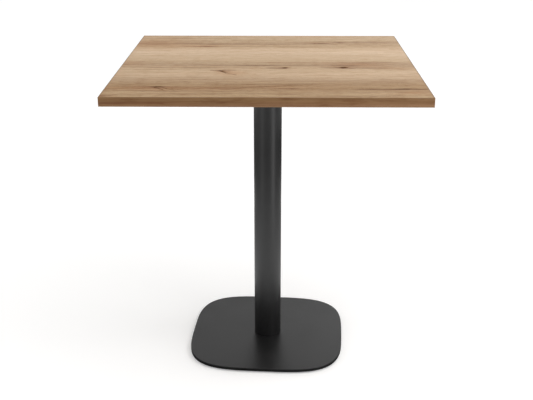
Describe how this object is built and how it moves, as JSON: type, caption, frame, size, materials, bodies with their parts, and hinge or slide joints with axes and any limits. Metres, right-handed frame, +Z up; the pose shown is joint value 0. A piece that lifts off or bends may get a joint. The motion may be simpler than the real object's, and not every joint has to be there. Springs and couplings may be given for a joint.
{
  "type": "bistro table",
  "caption": "Square bistro table: wood-decor board with banded edges on a round black column and a flat, soft-cornered steel base with levelling feet.",
  "frame": {"origin": "on the floor, under the middle of the square top and of the column", "axes": "+Z up, +X to the right and -Y to the front; the top's sides and its grain run along X and Y"},
  "size_m": [0.7, 0.7, 0.75],
  "materials": {
    "oak_decor": "laminate sheet printed with a knotty oak decor, satin, fine grain texture along X",
    "oak_edge": "2 mm edge band in a darker oak decor, satin, grain along the edge",
    "particleboard": "bare particleboard",
    "backing_sheet": "plain brown balancing sheet, matt",
    "black_powder_coat": "black powder coat, fine texture, semi-matt",
    "zinc_steel": "zinc-plated steel",
    "black_nylon": "moulded black nylon"
  },
  "bodies": {
    "table": {"tabletop_laminate": "oak_decor", "tabletop_core": "particleboard", "tabletop_backing": "backing_sheet", "edge_band_front": "oak_edge", "edge_band_back": "oak_edge", "edge_band_left": "oak_edge", "edge_band_right": "oak_edge", "mounting_plate": "black_powder_coat", "top_screw_1": "zinc_steel", "top_screw_2": "zinc_steel", "top_screw_3": "zinc_steel", "top_screw_4": "zinc_steel", "top_screw_5": "zinc_steel", "top_screw_6": "zinc_steel", "top_screw_7": "zinc_steel", "top_screw_8": "zinc_steel", "plate_screw_1": "zinc_steel", "plate_screw_2": "zinc_steel", "plate_screw_3": "zinc_steel", "plate_screw_4": "zinc_steel", "column_top_disc": "zinc_steel", "column_tube": "black_powder_coat", "column_bottom_disc": "zinc_steel", "base_screw_1": "zinc_steel", "base_screw_2": "zinc_steel", "base_screw_3": "zinc_steel", "base_screw_4": "zinc_steel", "base_plate": "black_powder_coat"},
    "foot_1_stud": {"foot_stud_1": "zinc_steel"},
    "foot_1_pad": {"foot_pad_1": "black_nylon"},
    "foot_2_stud": {"foot_stud_2": "zinc_steel"},
    "foot_2_pad": {"foot_pad_2": "black_nylon"},
    "foot_3_stud": {"foot_stud_3": "zinc_steel"},
    "foot_3_pad": {"foot_pad_3": "black_nylon"},
    "foot_4_stud": {"foot_stud_4": "zinc_steel"},
    "foot_4_pad": {"foot_pad_4": "black_nylon"}
  },
  "joints": [
    {"name": "foot_1_travel", "type": "slide", "parent": "table", "child": "foot_1_stud", "axis": [0, 0, -1], "range_m": [0, 0.004]},
    {"name": "foot_1_turn", "type": "hinge", "parent": "foot_1_stud", "child": "foot_1_pad", "pos_m": [0.14829, 0.13119, 0], "axis": [0, 0, -1], "range_deg": [0, 1152]},
    {"name": "foot_2_travel", "type": "slide", "parent": "table", "child": "foot_2_stud", "axis": [0, 0, -1], "range_m": [0, 0.004]},
    {"name": "foot_2_turn", "type": "hinge", "parent": "foot_2_stud", "child": "foot_2_pad", "pos_m": [-0.13119, 0.14829, 0], "axis": [0, 0, -1], "range_deg": [0, 1152]},
    {"name": "foot_3_travel", "type": "slide", "parent": "table", "child": "foot_3_stud", "axis": [0, 0, -1], "range_m": [0, 0.004]},
    {"name": "foot_3_turn", "type": "hinge", "parent": "foot_3_stud", "child": "foot_3_pad", "pos_m": [-0.14829, -0.13119, 0], "axis": [0, 0, -1], "range_deg": [0, 1152]},
    {"name": "foot_4_travel", "type": "slide", "parent": "table", "child": "foot_4_stud", "axis": [0, 0, -1], "range_m": [0, 0.004]},
    {"name": "foot_4_turn", "type": "hinge", "parent": "foot_4_stud", "child": "foot_4_pad", "pos_m": [0.13119, -0.14829, 0], "axis": [0, 0, -1], "range_deg": [0, 1152]}
  ],
  "couplings": [
    {"joint": "foot_1_travel", "follows": "foot_1_turn", "m_per_rad": 0.00019894},
    {"joint": "foot_2_travel", "follows": "foot_2_turn", "m_per_rad": 0.00019894},
    {"joint": "foot_3_travel", "follows": "foot_3_turn", "m_per_rad": 0.00019894},
    {"joint": "foot_4_travel", "follows": "foot_4_turn", "m_per_rad": 0.00019894}
  ]
}
